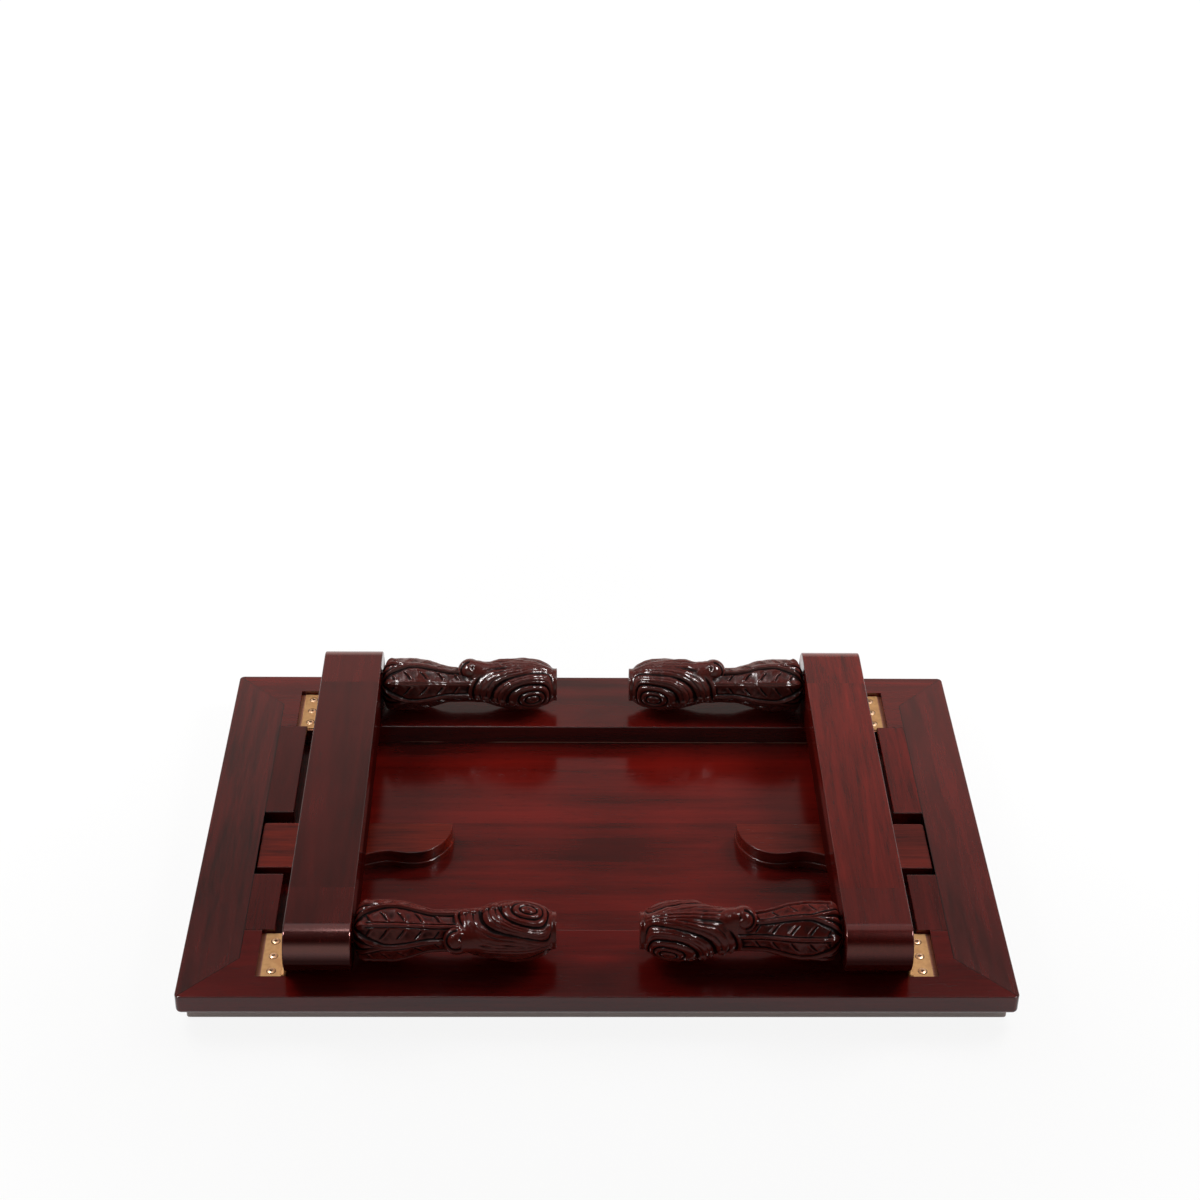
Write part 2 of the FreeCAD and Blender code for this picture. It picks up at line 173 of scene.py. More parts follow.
class Tree:
    """A node tree that is filled through one node-making method."""

    def __init__(self, owner: bpy.types.Material | bpy.types.World) -> None:
        """Empty the owner's tree."""
        owner.use_nodes = True
        self.tree = owner.node_tree
        self.tree.nodes.clear()

    def node(self, kind: str, settings: dict[str, Any] | None = None,
             inputs: dict[str | int, Any] | None = None, output: str | int = 0) -> Wire:
        """Add one node.

        Args:
            kind: the node's type.
            settings: its properties, set before its sockets; "stops" are a ramp's stops.
            inputs: values or wires for its sockets, by name or place.
            output: the socket that is handed back, by name or place.

        Returns:
            The chosen output, or the first input of a node that has no outputs.
        """
        made = self.tree.nodes.new(kind)
        for name, value in (settings or {}).items():
            if name == "stops":
                self._set_stops(made.color_ramp, value)
            else:
                setattr(made, name, value)
        for key, value in (inputs or {}).items():
            if isinstance(value, Wire):
                self.tree.links.new(value.socket, made.inputs[key])
            else:
                made.inputs[key].default_value = value
        if not made.outputs:
            return Wire(self, made.inputs[0])
        return Wire(self, made.outputs[output])

    @staticmethod
    def _set_stops(ramp: bpy.types.ColorRamp, stops: Sequence[tuple[float, Colour]]) -> None:
        """Give a colour ramp its stops.

        Args:
            ramp: the ramp.
            stops: the place and the colour of each stop, in order.
        """
        while len(ramp.elements) < len(stops):
            ramp.elements.new(1.0)
        for element, (place, colour) in zip(ramp.elements, stops):
            element.position = place
            element.color = (*colour, 1.0)

    def place(self, shift: Point = (0.0, 0.0, 0.0)) -> Wire:
        """The piece's own coordinates in metres, moved by a shift."""
        at = self.node("ShaderNodeTexCoord", output="Object")
        return self.node("ShaderNodeVectorMath", {"operation": "ADD"}, {0: at, 1: shift})

    def stretch(self, at: Wire, scale: Point) -> Wire:
        """Coordinates times a scale on each axis."""
        return self.node("ShaderNodeVectorMath", {"operation": "MULTIPLY"}, {0: at, 1: scale})

    def axes(self, at: Wire) -> tuple[Wire, Wire, Wire]:
        """The three parts of a vector."""
        x, y, z = self.node("ShaderNodeSeparateXYZ", None, {0: at}).socket.node.outputs
        return Wire(self, x), Wire(self, y), Wire(self, z)

    def noise(self, at: Wire, scale: float, detail: float = 2.0, roughness: float = 0.5,
              distortion: float = 0.0) -> Wire:
        """Soft noise from 0 to 1, with about as many waves to a metre as the scale says."""
        inputs = {"Vector": at, "Scale": scale, "Detail": detail, "Roughness": roughness,
                  "Distortion": distortion}
        return self.node("ShaderNodeTexNoise", None, inputs)

    def blend(self, factor: Wire | float, first: Wire | Colour, second: Wire | Colour,
              way: str = "MIX") -> Wire:
        """One colour laid over another.

        Args:
            factor: how much of the second shows.
            first: the colour below.
            second: the colour above.
            way: the blend type.

        Returns:
            The mixed colour.
        """
        settings = {"data_type": "RGBA", "blend_type": way}
        below, above = (value if isinstance(value, Wire) else (*value, 1.0)
                        for value in (first, second))
        return self.node("ShaderNodeMix", settings, {0: factor, 6: below, 7: above}, output=2)

    def bump(self, height: Wire, distance: float) -> Wire:
        """A normal bent by a height times the distance in metres."""
        return self.node("ShaderNodeBump", None, {"Height": height, "Distance": distance})

    def principled(self, inputs: dict[str, Any]) -> Wire:
        """The common shader with its sockets filled."""
        return self.node("ShaderNodeBsdfPrincipled", None, inputs)

    def diffuse(self, colour: Colour) -> Wire:
        """A plain shader without gloss."""
        return self.node("ShaderNodeBsdfDiffuse", None, {"Color": (*colour, 1.0)})

    def mixed(self, factor: Wire, first: Wire, second: Wire) -> Wire:
        """Two shaders mixed, with the second where the factor is one."""
        return self.node("ShaderNodeMixShader", None, {0: factor, 1: first, 2: second})

    def surface(self, shader: Wire) -> None:
        """Join a shader to the material's output."""
        self.node("ShaderNodeOutputMaterial", None, {"Surface": shader})


@dataclass(frozen=True)
class LacqueredWood:
    """Stained wood under gloss lacquer.

    Marks lie at places on the table, in metres from its middle or over the floor.
    """

    name: str
    dark: Colour
    light: Colour
    grain: Grain
    seed: float = 0.0
    figure: float = 0.5
    gloss: float = 0.17
    marks: Mark = Mark.PLAIN
    streak: float = 0.42
    ior: float = 1.5
    nose_ior: float = 0.0

    SEED_STEP = (1.37, 0.71, 0.23)
    TONE_STOPS = (0.30, 0.72)
    WAVE_HEIGHT = 0.00010
    PORE_SHADE = 0.3

    PAINTED_RIM_HIGHLIGHT = (0.42, 0.33, 0.31)
    BARE_DARK, BARE_LIGHT = (0.26, 0.055, 0.025), (0.55, 0.21, 0.10)
    SEAM = (0.004, 0.0005, 0.0004)
    WORN_FOOT = (0.30, 0.15, 0.11)
    NOSE_TINT = (1.0, 0.52, 0.49, 1.0)

    PLANK_JOINT_Y, BACK_PLANK_Y, BACK_SHADE_Y = 0.029, 0.03, 0.140
    RIM_X, RIM_Y = 0.430, 0.280
    BACK_WALL_Y, BACK_WALL_FOOT_Z = 0.1915, 0.0150
    LIGHTER_X, LIGHTER_Y = 0.28, 0.220
    POCKET_IN_X, POCKET_OUT_X, POCKET_END_Y = 0.3335, 0.3682, 0.2665
    POCKET_LOW_Z, POCKET_HIGH_Z = 0.0315, 0.0325
    MITRE_SHIFT, MITRE_FROM_Y = 0.15, 0.2375
    BUTT_X, BUTT_END_Y = 0.388, 0.2385
    SEAM_HALF = 0.0006
    NOSE_Y = 0.2545
    DULL_Z = 0.086

    def material(self) -> bpy.types.Material:
        """Make the finish.

        Returns:
            A material whose grain follows the piece's own coordinates.
        """
        made = bpy.data.materials.new(self.name)
        tree = Tree(made)
        x, y, z = tree.axes(tree.place())
        at = tree.place(tuple(self.seed * step for step in self.SEED_STEP))
        drawn = tree.stretch(at, self.grain.value)
        wander = tree.noise(at, scale=5.0)
        bands = tree.noise(drawn, scale=1.6, roughness=0.55, distortion=self.figure)
        streaks = tree.noise(drawn, scale=7.0, detail=5.0, roughness=0.62, distortion=self.figure)
        fibres = tree.noise(drawn, scale=38.0, detail=3.0, roughness=0.6)
        pores = tree.noise(drawn, scale=70.0, detail=1.0, roughness=0.4).ramp(0.64, 0.76)
        lines = streaks.sway() * self.streak + fibres.sway() * (self.streak * 0.36)
        tone = bands.sway() * 0.45 + lines + wander.sway() * 0.40 + 0.5
        stops = list(zip(self.TONE_STOPS, (self.dark, self.light)))
        colour = tree.node("ShaderNodeValToRGB", {"stops": stops}, {0: self._toned(tone, x, y)})
        pit = tuple(part * self.PORE_SHADE for part in self.dark)
        colour = tree.blend(pores * 0.5, colour, pit)
        shine = self.gloss + wander.sway() * 0.07 + pores * 0.05
        if Mark.PLANK in self.marks:
            # painted highlight: the board's rim is painted pale, as a light line along the frame's
            # lower edge
            rim = (abs(y) > self.RIM_Y).either(abs(x) > self.RIM_X)
            colour = tree.blend(rim, colour, self.PAINTED_RIM_HIGHLIGHT)
        if Mark.POCKET in self.marks:
            bare = self._pocket(x, y, z)
            colour = tree.blend(bare, colour, tree.blend(fibres, self.BARE_DARK, self.BARE_LIGHT))
            shine = shine + bare * 0.4
        if Mark.JOINT in self.marks:
            colour = tree.blend(self._joint(x, y) * 0.8, colour, self.SEAM)
        if Mark.FOOT_LINE in self.marks:
            foot = (y < self.BACK_WALL_Y) * (z < self.BACK_WALL_FOOT_Z)
            colour = tree.blend(foot * streaks.ramp(0.40, 0.52), colour, self.WORN_FOOT)
        height = streaks * 0.3 + fibres * 0.25 - pores * 0.1 + wander * 1.5
        inputs = {"Base Color": colour, "Roughness": shine,
                  "Normal": tree.bump(height, self.WAVE_HEIGHT)}
        tree.surface(self._shader(tree, inputs, y, z))
        return made

    def _toned(self, tone: Wire, x: Wire, y: Wire) -> Wire:
        """Lighten and darken the grain: the planks' own tones, the back rail's lighter middle, and
        painted shade near the back rail and under the back legs.

        Args:
            tone: the grain, from 0 for dark to 1 for light.
            x: place along the table.
            y: place across the table.

        Returns:
            The changed tone.
        """
        if Mark.PLANK in self.marks:
            front_plank = (y < self.PLANK_JOINT_Y) * 0.07
            back_plank = (y - self.BACK_PLANK_Y).ramp(0.0, 0.12) * 0.05
            # painted shade: the board is darkened towards the back rail, where the rail and the
            # back legs shade it
            painted_back_shade = (y - self.BACK_SHADE_Y).ramp(0.0, 0.045) * 0.16
            tone = tone - front_plank + back_plank - painted_back_shade
        if Mark.FOOT_LINE in self.marks:
            # painted shade: where the back legs lie over the back rail, the part under them is
            # darkened as their shade; the strip in front of them is lighter
            middle = (self.LIGHTER_X - abs(x)).ramp(0.0, 0.06) * (y > self.BACK_WALL_Y)
            tone = tone + middle * (0.24 - (y - self.LIGHTER_Y).ramp(0.0, 0.03) * 0.38)
        return tone

    def _pocket(self, x: Wire, y: Wire, z: Wire) -> Wire:
        """Where the floor of a hinge pocket shows unstained wood.

        Args:
            x: place along the table.
            y: place across the table.
            z: height over the floor.

        Returns:
            One on the pocket's floor, else nought.
        """
        across = (abs(x) > self.POCKET_IN_X) * (abs(x) < self.POCKET_OUT_X)
        inside = across * (abs(y) < self.POCKET_END_Y)
        return inside * (z < self.POCKET_HIGH_Z) * (z > self.POCKET_LOW_Z)

    def _joint(self, x: Wire, y: Wire) -> Wire:
        """The thin dark lines of the mitres and of the butts against the side rails.

        Args:
            x: place along the table.
            y: place across the table.

        Returns:
            One on the lines, else nought.
        """
        on_mitre = abs(abs(x) - abs(y) - self.MITRE_SHIFT) < self.SEAM_HALF
        on_butt = abs(abs(x) - self.BUTT_X) < self.SEAM_HALF
        butt = on_butt * (abs(y) < self.BUTT_END_Y)
        return (on_mitre * (abs(y) > self.MITRE_FROM_Y)).either(butt)

    def _shader(self, tree: Tree, inputs: dict[str, Any], y: Wire, z: Wire) -> Wire:
        """The lacquer, glossier on the rounded noses of the blocks, and painted dark and dull as
        shade near an apron's foot.

        Args:
            tree: the finish's node tree.
            inputs: what the lacquer's sockets get.
            y: place across the table.
            z: height over the floor.

        Returns:
            The whole shader.
        """
        shader = tree.principled(inputs | {"IOR": self.ior})
        if self.nose_ior:
            rounded = {"IOR": self.nose_ior, "Specular Tint": self.NOSE_TINT}
            nose = (abs(y) - self.NOSE_Y).ramp(0.0, 0.005)
            shader = tree.mixed(nose, shader, tree.principled(inputs | rounded))
        if Mark.PAINTED_SHADE_FOOT in self.marks:
            # painted shade: the lower part turns into the plain dark colour without gloss
            low = (self.DULL_Z - z).ramp(0.0, 0.014)
            shader = tree.mixed(low * 0.9, shader, tree.diffuse(self.dark))
        return shader


@dataclass(frozen=True)
class CarvedWood:
    """Near-black stain under thick gloss, with painted shade: paler on the ridges, and black and
    dull in the cuts.
    """

    name: str
    ridge: Colour
    # the colour of the painted shade in the cuts
    hollow: Colour
    seed: float
    shine: float

    GRAIN = (1.0, 9.0, 9.0)
    TOOL_MARKS = 0.0002
    IOR = 1.55
    DULL_ROUGHNESS = 0.6

    def material(self) -> bpy.types.Material:
        """Make the finish.

        Returns:
            A material that reads the painted shade of the cuts from the piece's own attribute.
        """
        made = bpy.data.materials.new(self.name)
        tree = Tree(made)
        at = tree.place((self.seed, 0.0, 0.0))
        depth = tree.node("ShaderNodeAttribute", {"attribute_name": CarvedLeg.DEPTH}, output="Fac")
        blotch = tree.noise(at, scale=45.0, detail=3.0)
        drawn = tree.stretch(at, self.GRAIN)
        fibres = tree.noise(drawn, scale=90.0, detail=3.0, roughness=0.6)
        chips = tree.noise(at, scale=240.0)
        # painted shade: the colour runs from the ridge's to the hollow's by how deep a point sits
        # in the cuts
        stain = (depth + blotch.sway() * 0.3).ramp(0.06, 0.80)
        colour = tree.blend(stain, self.ridge, self.hollow)
        colour = tree.blend((fibres - 0.45) * 0.5, colour, self.hollow)
        normal = tree.bump(fibres * 0.5 + blotch * 1.6 + chips * 0.5, self.TOOL_MARKS)
        common = {"Base Color": colour, "Normal": normal}
        glossy = tree.principled(common | {
            "Roughness": blotch * 0.08 + stain * 0.3 + 0.13, "IOR": self.IOR,
            "Specular IOR Level": self.shine})
        dull = tree.principled(common | {
            "Roughness": self.DULL_ROUGHNESS, "Specular IOR Level": 0.0})
        # painted shade: the cuts also lose their gloss
        tree.surface(tree.mixed(stain * 0.8, glossy, dull))
        return made


@dataclass(frozen=True)
class WornMetal:
    """Plain metal with rubbed patches and fine scratches.

    A painted shadow lies in a ring round each screw of the fixed leaves, between two distances in
    metres.
    """

    name: str
    clean: Colour
    dull: Colour
    gloss: float
    bare: float = 1.0
    dirt: tuple[float, float] = (0.0, 0.0)

    BRUSHED = (14.0, 1.0, 3.0)
    SCRATCH_DEPTH = 0.00005
    DIRT = (0.045, 0.016, 0.010)
    SCREW_X, SCREW_FROM_Y, SCREW_PITCH = 0.352, 0.194, 0.024

    def material(self) -> bpy.types.Material:
        """Make the finish.

        Returns:
            A metal material with blotches and scratches.
        """
        made = bpy.data.materials.new(self.name)
        tree = Tree(made)
        at = tree.place()
        blotch = tree.noise(at, scale=120.0, detail=3.0)
        scratch = tree.noise(tree.stretch(at, self.BRUSHED), scale=180.0)
        colour = tree.blend(blotch.ramp(0.35, 0.7), self.clean, self.dull)
        low, high = self.dirt
        # painted shadow: dark round each screw head on the leaves, and over the middle of each head
        # as the shade of its recess
        if high:
            away = self._from_screw(*tree.axes(at)[:2])
            colour = tree.blend((away > low) * (away < high) * 0.85, colour, self.DIRT)
        tree.surface(tree.principled({
            "Base Color": colour, "Roughness": self.gloss + blotch * 0.15 + scratch * 0.1,
            "Metallic": self.bare,
            "Normal": tree.bump(scratch + blotch * 0.5, self.SCRATCH_DEPTH)}))
        return made

    def _from_screw(self, x: Wire, y: Wire) -> Wire:
        """How far a point of a fixed leaf is from the middle of the nearest screw.

        Args:
            x: place along the table.
            y: place across the table.

        Returns:
            The distance in metres.
        """
        out = abs(x) - self.SCREW_X
        within = (abs(y) - self.SCREW_FROM_Y).math("FLOORED_MODULO", self.SCREW_PITCH)
        along = within - self.SCREW_PITCH / 2.0
        return (out * out + along * along).math("SQRT")


def dress(nodes: Nodes, name: str, made: bpy.types.Material) -> None:
    """Give a piece of the frame its finish.

    Args:
        nodes: the frame's pieces by name.
        name: the piece.
        made: the finish's material.
    """
    slots = nodes[name].data.materials
    slots.clear()
    slots.append(made)
    log.info("dressed %s", name)


def smoothstep(start: float, end: float, value: Array) -> Array:
    """Nought at the start, one at the end, softly between, whichever of them is the higher."""
    part = np.clip((value - start) / (end - start), 0.0, 1.0)
    return part * part * (3.0 - 2.0 * part)


def bell(value: Array, width: float | Array) -> Array:
    """One at nought, falling away softly to both sides over the width."""
    return np.exp(-(value / width) ** 2)


def only_selected(piece: bpy.types.Object) -> None:
    """Select one object alone and make it active.

    Args:
        piece: the object.
    """
    bpy.ops.object.select_all(action="DESELECT")
    piece.select_set(True)
    bpy.context.view_layer.objects.active = piece


def points_of(mesh: bpy.types.Mesh) -> Array:
    """Read a mesh's points.

    Args:
        mesh: the mesh.

    Returns:
        One row of x, y, z for each point.
    """
    flat = np.empty(len(mesh.vertices) * 3, np.float32)
    mesh.vertices.foreach_get("co", flat)
    return flat.reshape(-1, 3)


@dataclass(frozen=True)
class LegCut:
    """How one leg is set in its socket and carved; angles in degrees, sizes in millimetres.

    Attributes:
        turn: how far the leg's middle line is turned from straight up, towards the front.
        curl_lean: how far the curl lies off the middle line.
        leaf_lean: how far the leaves lie off it.
        rib: half the width of a leaf's middle rib, or 0 for a single cut.
        curl_at: how far the curl is from the shoulder.
    """

    turn: float
    curl_lean: float
    leaf_lean: float
    rib: float
    curl_at: float


@dataclass
class CarvedLeg:
    """A leg carved with four long leaves, a curled leaf tip and a scroll on each flank.

    Sizes are in millimetres. Places along the leg count from its shoulder, and angles round it, in
    degrees, from its middle line. The shares are parts of the sheet that is rolled into the shank.
    """

    side: Side
    end: End
    cut: LegCut
    seed: int
    shoulder_x: float = 263.0
    axis_y: float = 233.0
    axis_z: float = 73.0
    length: float = 218.0
    foot_radius: float = 20.2
    foot_step: float = 0.3
    largest_radius: float = 34.2
    rows: int = 300
    columns: int = 296
    shade: float = 0.10  # how dark a level place is painted, as shade, where 1 is a groove
    cut_shades: Sequence[tuple[int, float]] = ((6, 0.76), (18, 0.20))  # reach, weight of the painted shade in the cuts
    cap_share: float = 0.012
    body_share: float = 0.964
    foot_from: float = 0.976
    foot_share: float = 0.024
    leaf_angle: float = 90.0
    leaf_tip: float = 40.0
    leaf_hollow: float = 2.3
    hem_height: float = 1.7
    hem_groove: float = 1.1
    boss_height: float = 2.4
    boss_radius: float = 6.0
    nick_from: float = 19.5
    nick_pitch: float = 19.0
    nick_depth: float = 1.2
    gap_depth: float = 3.2
    eye_at: float = 188.0
    eye_angle: float = 90.0
    eye_radius: float = 5.8
    eye_height: float = 3.2
    eye_pit: float = 1.8
    eye_sunk: float = 1.2
    ridge_depth: float = 3.2
    broad_depth: float = 2.0
    strand_width: float = 4.2
    bead_from: float = 114.0
    bead_angle: float = 100.0
    bead_pitch: float = 10.5
    bead_height: float = 2.6
    curl_from_axis: float = 18.4
    curl_radius: float = 15.7
    curl_drop: float = 4.0
    curl_cut: float = 0.18
    curl_tail: float = 0.12
    curl_segments: int = 64
    curl_rings: int = 40
    spiral_from: float = 0.36
    spiral_growth: float = 0.44
    volute: float = 60.0  # where the curl's spiral faces, from straight up towards the front
    rings: Sequence[float] = (0.0, 6.0, 11.5, 19.5, 34.0, 49.5, 64.0)  # cuts round the eye
    neck_places: Sequence[float] = (-4.0, 5.0, 11.0, 19.0, 31.0, 43.0, 58.0)  # past the curl
    neck_heights: Sequence[float] = (0.0, 9.5, 8.4, 6.4, 3.8, 1.6, 0.0)
    outline: Sequence[tuple[float, float]] = (
        (0.0, 17.0), (2.0, 20.5), (6.0, 28.0), (12.0, 31.5), (22.0, 33.0), (44.0, 33.0),
        (58.0, 30.6), (72.0, 26.0), (84.0, 22.8), (96.0, 22.4), (112.0, 22.8), (126.0, 23.2),
        (136.0, 25.4), (147.0, 29.0), (160.0, 31.5), (175.0, 32.3), (188.0, 31.2), (198.0, 28.6),
        (206.0, 25.0), (211.0, 21.8), (213.0, 20.6))

    # the attribute that carries the painted shade of the cuts
    DEPTH = "carved_depth"
    OUTLINE_STEPS, SMOOTHED_STEPS = 1200, 41
    MERGE = 0.00001  # metres

    @property
    def name(self) -> str:
        """The piece's name in the frame."""
        return f"{self.side.word}_{self.end.word}_leg"

    def turned_radius(self, along: Array) -> Array:
        """The leg's outline before it is carved, as a smooth curve through its sizes.

        Args:
            along: distance from the shoulder.

        Returns:
            The radius there.
        """
        places, sizes = (np.array(column) for column in zip(*self.outline))
        fine = np.linspace(0.0, places[-1], self.OUTLINE_STEPS)
        rough = np.interp(fine, places, sizes)
        kernel = np.hanning(self.SMOOTHED_STEPS)
        padded = np.pad(rough, self.SMOOTHED_STEPS // 2, mode="edge")
        soft = np.convolve(padded, kernel / kernel.sum(), mode="valid")
        near_end = smoothstep(0.0, 8.0, fine) * smoothstep(0.0, 6.0, places[-1] - fine)
        return np.interp(along, fine, rough + (soft - rough) * near_end)

    def leaves(self, along: Array, around: Array, radius: Array) -> Array:
        """Relief of the four long leaves, their veins and their rounded tips.

        Args:
            along: distance from the shoulder.
            around: unsigned angle from the leaves' own line.
            radius: the turned radius there.

        Returns:
            Height over the turned surface.
        """
        offset = np.mod(around, self.leaf_angle) - self.leaf_angle / 2.0
        arc = np.abs(np.radians(offset)) * radius
        half = np.radians(self.leaf_angle / 2.0) * radius
        part = np.clip((along + 1.0) / self.leaf_tip, 0.0, 1.0)
        spread = np.sqrt(1.0 - (1.0 - part) ** 2)
        blunt = 1.0 + 0.9 * smoothstep(36.0, 20.0, along)
        margin = (arc - spread * half) / blunt
        inside = smoothstep(1.2, -1.0, margin)
        across = np.clip(arc / np.maximum(spread * half, 1.0), 0.0, 1.0)
        hollow = -self.leaf_hollow * np.sin(across * pi)
        hem = self.hem_height * bell(margin + 0.7, 1.4) - self.hem_groove * bell(margin + 3.4, 1.1)
        half_rib = self.cut.rib
        rib = 0.25 * half_rib * np.exp(-(arc / 1.8) ** 4) - bell(arc - half_rib, 0.9)
        rib = rib * smoothstep(9.0, 17.0, along)
        boss = self.boss_height * np.clip(1.0 - arc / self.boss_radius, 0.0, 1.0)
        boss = boss * smoothstep(1.0, 8.0, along) * smoothstep(18.0, 10.0, along)
        leaf = hollow + hem + rib + boss + self.nicks(along, arc, margin)
        gap = -self.gap_depth + 2.6 * np.clip(1.0 - (half - arc) / 4.5, 0.0, 1.0)
        return leaf * inside + gap * (1.0 - inside)

    def nicks(self, along: Array, arc: Array, margin: Array) -> Array:
        """The slanting veins on both sides of a leaf's rib.

        Args:
            along: distance from the shoulder.
            arc: distance from the leaf's middle, round the leg.
            margin: distance from the leaf's edge, negative inside it.

        Returns:
            Height over the leaf.
        """
        step = along - self.nick_from + 0.18 * arc + 0.025 * arc ** 2
        step = step + 1.2 * np.sin(self.seed * 1.7 + along * 0.05)
        away = np.mod(step + self.nick_pitch / 2.0, self.nick_pitch) - self.nick_pitch / 2.0
        nick = -self.nick_depth * bell(away, 1.0) + bell(away - 2.3, 1.4)
        reach = smoothstep(4.0, 6.5, arc) * smoothstep(-2.5, -5.5, margin)
        reach = reach * smoothstep(17.5, 14.0, arc) * smoothstep(13.0, 17.0, along)
        return nick * reach

    def scroll(self, along: Array, around: Array, radius: Array) -> tuple[Array, Array]:
        """Relief of the ridges that sweep from the curl round the eye.

        Args:
            along: distance from the shoulder.
            around: unsigned angle from the leg's middle line.
            radius: the turned radius there.

        Returns:
            Height over the turned surface, and where the scroll covers the leaves, from 0 to 1.
        """
        from_eye = along - self.eye_at
        rise = np.radians(self.eye_angle - around) * radius
        near_foot = np.clip(from_eye / 25.0, 0.0, 1.0)
        squeezed = 0.62 * from_eye / (1.0 - 0.5 * near_foot ** 2)
        ring = np.hypot(np.where(from_eye < 0.0, from_eye / 1.48, squeezed), rise)
        waver = 0.7 * np.sin(0.11 * along + 0.05 * around + self.seed)
        ring = ring + waver * smoothstep(8.0, 20.0, ring)
        count = np.interp(ring, self.rings, np.arange(len(self.rings)))
        part = count - np.floor(count)
        lock = np.sin(pi * part) ** 0.5
        broad = smoothstep(19.0, 22.0, ring)
        strand = bell(part - 0.36, 0.05) + bell(part - 0.68, 0.05)
        calm = smoothstep(-36.0, -16.0, from_eye) * smoothstep(24.0, 34.0, ring)
        depth = (self.ridge_depth + self.broad_depth * broad) * (1.0 - 0.6 * calm)
        tilt = (part - 0.5) * 1.1 * (1.0 - calm)
        ridges = depth * (lock - 0.68) + tilt - (0.9 - 0.35 * calm) * strand * broad
        eye = self.eye_height * np.sqrt(np.clip(1.0 - (ring / self.eye_radius) ** 2, 0.0, 1.0))
        eye = eye - self.eye_pit * bell(ring, 2.2) - self.eye_sunk
        relief = np.where(count < 1.0, eye, ridges)
        reach = np.maximum(smoothstep(113.0, 103.0, around), smoothstep(24.0, 19.0, ring))
        cover = smoothstep(54.0, 52.0, ring) * reach
        band = smoothstep(14.0, 7.0, around) * smoothstep(124.0, 136.0, along)
        strands = 0.8 * np.abs(np.sin(np.radians(around) * radius / self.strand_width * pi)) + 0.2
        relief = relief * (1.0 - band) + strands * band
        return relief, np.maximum(cover, band)

    def beads(self, along: Array, around: Array, radius: Array) -> Array:
        """The row of small beads under the scroll's lower edge.

        Args:
            along: distance from the shoulder.
            around: unsigned angle from the leg's middle line.
            radius: the turned radius there.

        Returns:
            Height over the rest of the carving.
        """
        step = np.mod(along - self.bead_from, self.bead_pitch) - self.bead_pitch / 2.0
        down = np.radians(around - self.bead_angle) * radius
        bead = np.sqrt(np.clip(1.0 - (step / 5.0) ** 2 - (down / 4.6) ** 2, 0.0, 1.0))
        row = smoothstep(111.0, 114.0, along) * smoothstep(172.0, 166.0, along)
        return (self.bead_height * bead - 2.2 * bell(down - 6.2, 1.6)) * row

    def chisel(self, along: Array, around: Array) -> Array:
        """The unevenness that the hand leaves.

        Args:
            along: distance from the shoulder.
            around: angle from the leg's middle line.

        Returns:
            Height over the rest of the carving.
        """
        turn = np.radians(around)
        long_waves = np.sin(along * 0.21 + 2.0 * np.sin(2.0 * turn + self.seed))
        long_waves = long_waves * np.sin(3.0 * turn + along * 0.07)
        short_waves = np.sin(along * 0.55 + 1.5 * np.sin(5.0 * turn - self.seed))
        short_waves = short_waves * np.sin(7.0 * turn - along * 0.19)
        return 0.35 * long_waves + 0.12 * short_waves

    @staticmethod
    def angle_from(around: Array, lean: float) -> Array:
        """Unsigned angle from a line that leans off the leg's middle line."""
        return np.abs(np.mod(around - lean + 180.0, 360.0) - 180.0)

    def relief(self, along: Array, around: Array, radius: Array) -> Array:
        """All the carving together.

        Args:
            along: distance from the shoulder.
            around: angle from the leg's middle line.
            radius: the turned radius there.

        Returns:
            Height over the turned surface.
        """
        angle = np.abs(around)
        leaf = self.leaves(along, self.angle_from(around, self.cut.leaf_lean), radius)
        scroll, cover = self.scroll(along, angle, radius)
        total = leaf * smoothstep(206.0, 192.0, along) * (1.0 - cover) + scroll * cover
        across = np.radians(self.angle_from(around, self.cut.curl_lean)) * radius
        past = along - self.cut.curl_at
        bare = smoothstep(24.0, 13.0, across)
        bare = bare * smoothstep(-8.0, 0.0, past) * smoothstep(34.0, 18.0, past)
        wide = np.interp(past, (2.0, 18.0, 43.0), (13.0, 14.5, 11.5))
        neck = np.interp(past, self.neck_places, self.neck_heights) * bell(across, wide)
        under = -2.0 * np.exp(-((past + 13.0) / 3.0) ** 2 - (across / 10.0) ** 2)
        total = total * (1.0 - bare) + neck + under
        total = total + self.beads(along, angle, radius) + self.chisel(along, around)
        body_end = self.outline[-1][0]
        return total * smoothstep(0.0, 2.0, along) * smoothstep(body_end, body_end - 2.0, along)

    def place(self, along: Array, radius: Array, around: Array) -> Array:
        """Points of the leg in the table's frame.

        Args:
            along: distance from the shoulder.
            radius: distance from the leg's axis.
            around: angle from the leg's middle line.

        Returns:
            One row of x, y, z for each point, in metres.
        """
        angle = np.radians(self.cut.turn + around)
        x = self.side.value * (self.shoulder_x - along)
        y = self.end.value * self.axis_y - radius * np.sin(angle)
        z = self.axis_z + radius * np.cos(angle)
        return np.stack([x, y, z], axis=-1).reshape(-1, 3) * MM

    def cavity(self, height: Array, reach: int) -> Array:
        """How far each point lies below the carving round it.

        Args:
            height: relief at the sheet's points, row by row.
            reach: how many points to each side count as near.

        Returns:
            The depth below the mean of the near points.
        """
        sheet = height.reshape(self.columns + 1, self.rows + 1)
        mean = sheet
        shifts = range(-reach, reach + 1)
        for axis in (0, 1):
            mean = sum(np.roll(mean, shift, axis) for shift in shifts) / len(shifts)
        return (mean - sheet).ravel()

